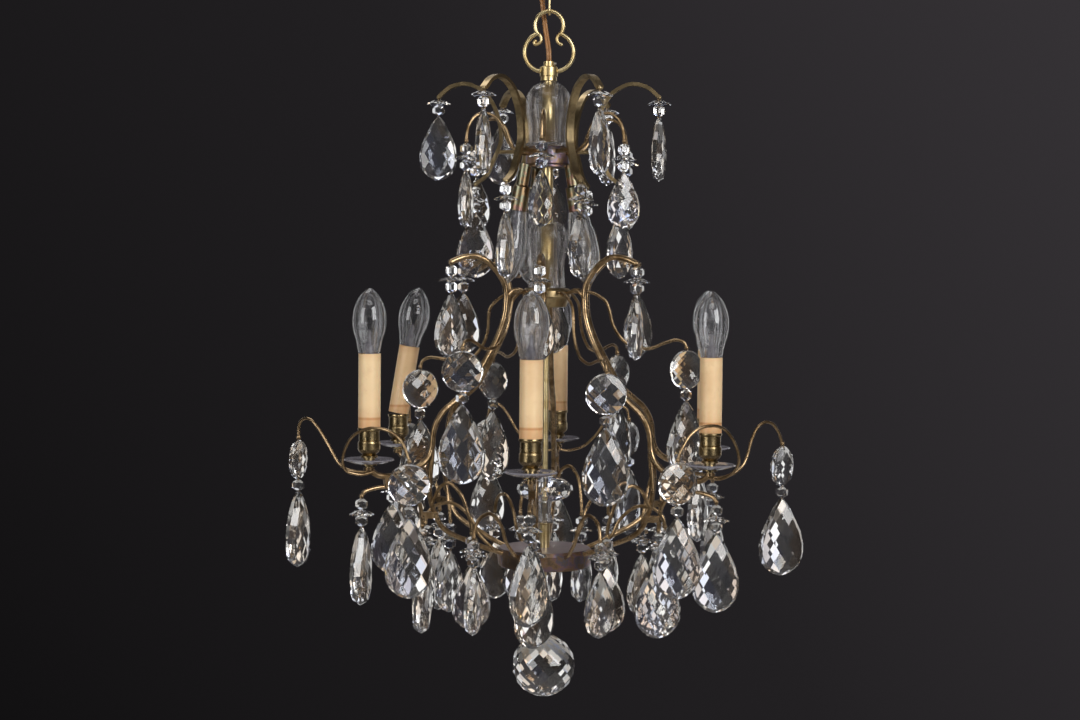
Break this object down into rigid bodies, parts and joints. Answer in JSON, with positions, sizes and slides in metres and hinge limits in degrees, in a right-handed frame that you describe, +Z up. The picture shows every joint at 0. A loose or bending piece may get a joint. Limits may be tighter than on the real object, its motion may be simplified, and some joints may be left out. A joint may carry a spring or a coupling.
{
  "type": "crystal chandelier",
  "caption": "Cage chandelier: brass scrolls and wires on one stem, candle lamps, downlights and hanging cut-glass chains.",
  "frame": {"origin": "centre of the ceiling rose's rim, on the ceiling plane and on the lamp's axis", "axes": "+Z up through the ceiling, -Y towards the viewer of the picture, +X to the viewer's right"},
  "size_m": [0.5685, 0.4863, 0.8326],
  "materials": {
    "aged_brass": "aged orange-brown brass, satin with darker patches",
    "pale_brass": "pale yellow polished brass",
    "olive_brass": "olive-gold brass",
    "dark_bronze": "dark bronze with a faint iridescent tint",
    "steel_rod": "plain steel screw and nut",
    "clear_glass": "clear, very slightly warm blown glass",
    "crystal": "clear cut crystal, polished facets",
    "bulb_glass": "thin clear lamp glass",
    "candle_cream": "cream candle sleeve with yellowed ends",
    "holder_plastic": "plain lamp holder",
    "flex_gold": "brown-gold twin flex"
  },
  "bodies": {
    "ceiling": {"ceiling_rose": "pale_brass", "ceiling_eye": "pale_brass", "eye_nut": "steel_rod"},
    "link": {"suspension_link": "pale_brass"},
    "frame": {"hanging_loop": "pale_brass", "cable_clamp": "pale_brass", "clamp_screw": "steel_rod", "lock_nuts": "pale_brass", "stem_tube": "pale_brass", "centre_rod": "pale_brass", "crown_collar": "dark_bronze", "main_hub": "aged_brass", "stem_sleeve": "pale_brass", "bottom_plate": "dark_bronze", "bottom_finial": "pale_brass", "crown_scrolls": "aged_brass", "crown_wires": "aged_brass", "main_arms": "aged_brass", "arm_brackets": "aged_brass", "hub_wires": "aged_brass", "lower_scrolls": "aged_brass", "hook_scrolls": "aged_brass", "scroll_ties": "aged_brass", "plate_wires": "aged_brass", "scroll_wires": "aged_brass", "candle_cups": "olive_brass", "side_wires": "aged_brass", "downlight_holders": "pale_brass", "supply_cable": "flex_gold", "candle_sleeves": "candle_cream", "lamp_holders": "holder_plastic", "upper_glass": "clear_glass", "lower_glass": "clear_glass", "stem_knop": "crystal", "stem_neck_glass": "clear_glass", "drip_pans": "clear_glass", "candle_bulbs": "bulb_glass", "downlight_bulbs": "bulb_glass", "crown_scroll_crystals": "crystal", "crown_wire_crystals": "crystal", "arm_hook_crystals": "crystal", "hub_wire_crystals": "crystal", "scroll_end_crystals": "crystal", "plate_wire_crystals": "crystal", "scroll_wire_crystals": "crystal"},
    "left_front_outer_chain": {"side_chain_left_front_outer": "crystal"},
    "left_front_inner_chain": {"side_chain_left_front_inner": "crystal"},
    "right_front_outer_chain": {"side_chain_right_front_outer": "crystal"},
    "right_front_inner_chain": {"side_chain_right_front_inner": "crystal"},
    "back_left_chain": {"side_chain_back_left": "crystal"},
    "back_right_chain": {"side_chain_back_right": "crystal"},
    "left_back_chain": {"side_chain_left_back": "crystal"},
    "right_back_chain": {"side_chain_right_back": "crystal"},
    "cage_front_chain": {"cage_chain_front": "crystal"},
    "cage_right_front_chain": {"cage_chain_right_front": "crystal"},
    "cage_right_back_chain": {"cage_chain_right_back": "crystal"},
    "cage_back_chain": {"cage_chain_back": "crystal"},
    "cage_left_back_chain": {"cage_chain_left_back": "crystal"},
    "cage_left_front_chain": {"cage_chain_left_front": "crystal"},
    "ball_chain_body": {"ball_chain": "crystal"}
  },
  "joints": [
    {"name": "link_swing", "type": "hinge", "parent": "ceiling", "child": "link", "pos_m": [0, 0, -0.0371], "axis": [1, 0, 0], "range_deg": [-8, 8]},
    {"name": "loop_swing", "type": "hinge", "parent": "link", "child": "frame", "pos_m": [0, 0, -0.0656], "axis": [-0.5, 0.866, 0], "range_deg": [-8, 8], "deforming": ["supply_cable"]},
    {"name": "left_front_outer_swing", "type": "hinge", "parent": "frame", "child": "left_front_outer_chain", "pos_m": [-0.27363, -0.03778, -0.5383], "axis": [0.4384, -0.8988, 0], "range_deg": [-8, 8]},
    {"name": "left_front_inner_swing", "type": "hinge", "parent": "frame", "child": "left_front_inner_chain", "pos_m": [-0.1424, -0.15401, -0.5528], "axis": [0.4384, -0.8988, 0], "range_deg": [-8, 8]},
    {"name": "right_front_outer_swing", "type": "hinge", "parent": "frame", "child": "right_front_outer_chain", "pos_m": [0.25854, -0.06824, -0.5378], "axis": [0.5592, 0.829, 0], "range_deg": [-8, 8]},
    {"name": "right_front_inner_swing", "type": "hinge", "parent": "frame", "child": "right_front_inner_chain", "pos_m": [0.13703, -0.17686, -0.5468], "axis": [0.5592, 0.829, 0], "range_deg": [-8, 8]},
    {"name": "back_left_swing", "type": "hinge", "parent": "frame", "child": "back_left_chain", "pos_m": [-0.07199, 0.23209, -0.5338], "axis": [-0.9976, 0.0698, 0], "range_deg": [-8, 8]},
    {"name": "back_right_swing", "type": "hinge", "parent": "frame", "child": "back_right_chain", "pos_m": [0.10358, 0.21981, -0.5338], "axis": [-0.9976, 0.0698, 0], "range_deg": [-8, 8]},
    {"name": "left_back_swing", "type": "hinge", "parent": "frame", "child": "left_back_chain", "pos_m": [-0.16953, 0.21809, -0.5383], "axis": [-0.5592, -0.829, 0], "range_deg": [-8, 8]},
    {"name": "right_back_swing", "type": "hinge", "parent": "frame", "child": "right_back_chain", "pos_m": [0.18837, 0.18978, -0.5378], "axis": [-0.4384, 0.8988, 0], "range_deg": [-8, 8]},
    {"name": "cage_front_swing", "type": "hinge", "parent": "frame", "child": "cage_front_chain", "pos_m": [-0.01039, -0.14864, -0.632], "axis": [0.9976, -0.0698, 0], "range_deg": [-8, 8]},
    {"name": "cage_right_front_swing", "type": "hinge", "parent": "frame", "child": "cage_right_front_chain", "pos_m": [0.12353, -0.08332, -0.632], "axis": [0.5592, 0.829, 0], "range_deg": [-8, 8]},
    {"name": "cage_right_back_swing", "type": "hinge", "parent": "frame", "child": "cage_right_back_chain", "pos_m": [0.13392, 0.06532, -0.632], "axis": [-0.4384, 0.8988, 0], "range_deg": [-8, 8]},
    {"name": "cage_back_swing", "type": "hinge", "parent": "frame", "child": "cage_back_chain", "pos_m": [0.01039, 0.14864, -0.632], "axis": [-0.9976, 0.0698, 0], "range_deg": [-8, 8]},
    {"name": "cage_left_back_swing", "type": "hinge", "parent": "frame", "child": "cage_left_back_chain", "pos_m": [-0.12353, 0.08332, -0.632], "axis": [-0.5592, -0.829, 0], "range_deg": [-8, 8]},
    {"name": "cage_left_front_swing", "type": "hinge", "parent": "frame", "child": "cage_left_front_chain", "pos_m": [-0.13392, -0.06532, -0.632], "axis": [0.4384, -0.8988, 0], "range_deg": [-8, 8]},
    {"name": "ball_swing", "type": "hinge", "parent": "frame", "child": "ball_chain_body", "pos_m": [0, 0, -0.7351], "axis": [1, 0, 0], "range_deg": [-8, 8]}
  ]
}
